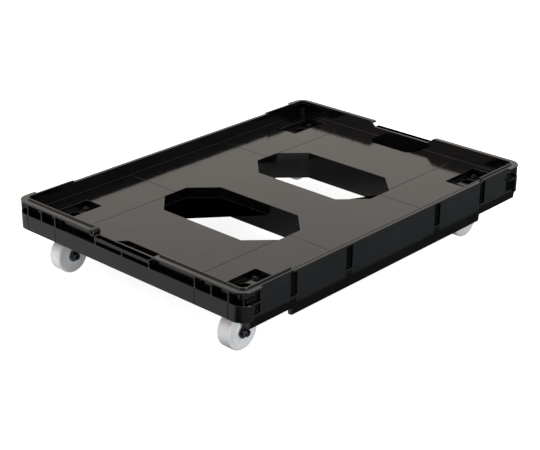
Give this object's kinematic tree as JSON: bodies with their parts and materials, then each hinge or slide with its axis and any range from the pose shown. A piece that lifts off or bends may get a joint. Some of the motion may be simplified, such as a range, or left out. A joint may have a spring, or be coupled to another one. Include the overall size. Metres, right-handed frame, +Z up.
{
  "type": "furniture dolly",
  "caption": "Black moulded tray dolly with a raised rim, two long octagonal openings, end hand grips and white swivel casters.",
  "frame": {"origin": "on the floor under the middle of the tray", "axes": "+Z up, X along the long sides with the rope eyelet at -X, Y across"},
  "size_m": [0.6, 0.437, 0.1095],
  "materials": {
    "tray_plastic": "injection-moulded black polypropylene, satin",
    "wheel_nylon": "moulded natural white nylon",
    "coated_steel": "pressed steel, black electro-coat",
    "race_steel": "hardened steel, oiled",
    "black_bolt": "black zinc plated steel"
  },
  "bodies": {
    "deck": {"deck_moulding": "tray_plastic", "front_left_top_plate": "coated_steel", "front_left_upper_race": "race_steel", "front_left_kingpin": "black_bolt", "front_left_mount_bolts": "black_bolt", "front_left_mount_nuts": "black_bolt", "front_right_top_plate": "coated_steel", "front_right_upper_race": "race_steel", "front_right_kingpin": "black_bolt", "front_right_mount_bolts": "black_bolt", "front_right_mount_nuts": "black_bolt", "rear_left_top_plate": "coated_steel", "rear_left_upper_race": "race_steel", "rear_left_kingpin": "black_bolt", "rear_left_mount_bolts": "black_bolt", "rear_left_mount_nuts": "black_bolt", "rear_right_top_plate": "coated_steel", "rear_right_upper_race": "race_steel", "rear_right_kingpin": "black_bolt", "rear_right_mount_bolts": "black_bolt", "rear_right_mount_nuts": "black_bolt"},
    "front_left_swivel": {"front_left_fork": "coated_steel", "front_left_lower_race": "race_steel", "front_left_swivel_balls": "race_steel", "front_left_axle_bolt": "black_bolt", "front_left_axle_nut": "black_bolt", "front_left_axle_sleeve": "race_steel", "front_left_wheel_washers": "race_steel"},
    "front_left_roller": {"front_left_wheel": "wheel_nylon"},
    "front_right_swivel": {"front_right_fork": "coated_steel", "front_right_lower_race": "race_steel", "front_right_swivel_balls": "race_steel", "front_right_axle_bolt": "black_bolt", "front_right_axle_nut": "black_bolt", "front_right_axle_sleeve": "race_steel", "front_right_wheel_washers": "race_steel"},
    "front_right_roller": {"front_right_wheel": "wheel_nylon"},
    "rear_left_swivel": {"rear_left_fork": "coated_steel", "rear_left_lower_race": "race_steel", "rear_left_swivel_balls": "race_steel", "rear_left_axle_bolt": "black_bolt", "rear_left_axle_nut": "black_bolt", "rear_left_axle_sleeve": "race_steel", "rear_left_wheel_washers": "race_steel"},
    "rear_left_roller": {"rear_left_wheel": "wheel_nylon"},
    "rear_right_swivel": {"rear_right_fork": "coated_steel", "rear_right_lower_race": "race_steel", "rear_right_swivel_balls": "race_steel", "rear_right_axle_bolt": "black_bolt", "rear_right_axle_nut": "black_bolt", "rear_right_axle_sleeve": "race_steel", "rear_right_wheel_washers": "race_steel"},
    "rear_right_roller": {"rear_right_wheel": "wheel_nylon"}
  },
  "joints": [
    {"name": "front_left_swivel_turn", "type": "hinge", "parent": "deck", "child": "front_left_swivel", "pos_m": [-0.24, 0.1638, 0.0583], "axis": [0, 0, 1], "continuous": true},
    {"name": "front_left_wheel_spin", "type": "hinge", "parent": "front_left_swivel", "child": "front_left_roller", "pos_m": [-0.255, 0.1638, 0.026], "axis": [0, 1, 0], "continuous": true},
    {"name": "front_right_swivel_turn", "type": "hinge", "parent": "deck", "child": "front_right_swivel", "pos_m": [-0.24, -0.1638, 0.0583], "axis": [0, 0, 1], "continuous": true},
    {"name": "front_right_wheel_spin", "type": "hinge", "parent": "front_right_swivel", "child": "front_right_roller", "pos_m": [-0.255, -0.1638, 0.026], "axis": [0, 1, 0], "continuous": true},
    {"name": "rear_left_swivel_turn", "type": "hinge", "parent": "deck", "child": "rear_left_swivel", "pos_m": [0.24, 0.1638, 0.0583], "axis": [0, 0, 1], "continuous": true},
    {"name": "rear_left_wheel_spin", "type": "hinge", "parent": "rear_left_swivel", "child": "rear_left_roller", "pos_m": [0.225, 0.1638, 0.026], "axis": [0, 1, 0], "continuous": true},
    {"name": "rear_right_swivel_turn", "type": "hinge", "parent": "deck", "child": "rear_right_swivel", "pos_m": [0.24, -0.1638, 0.0583], "axis": [0, 0, 1], "continuous": true},
    {"name": "rear_right_wheel_spin", "type": "hinge", "parent": "rear_right_swivel", "child": "rear_right_roller", "pos_m": [0.225, -0.1638, 0.026], "axis": [0, 1, 0], "continuous": true}
  ]
}
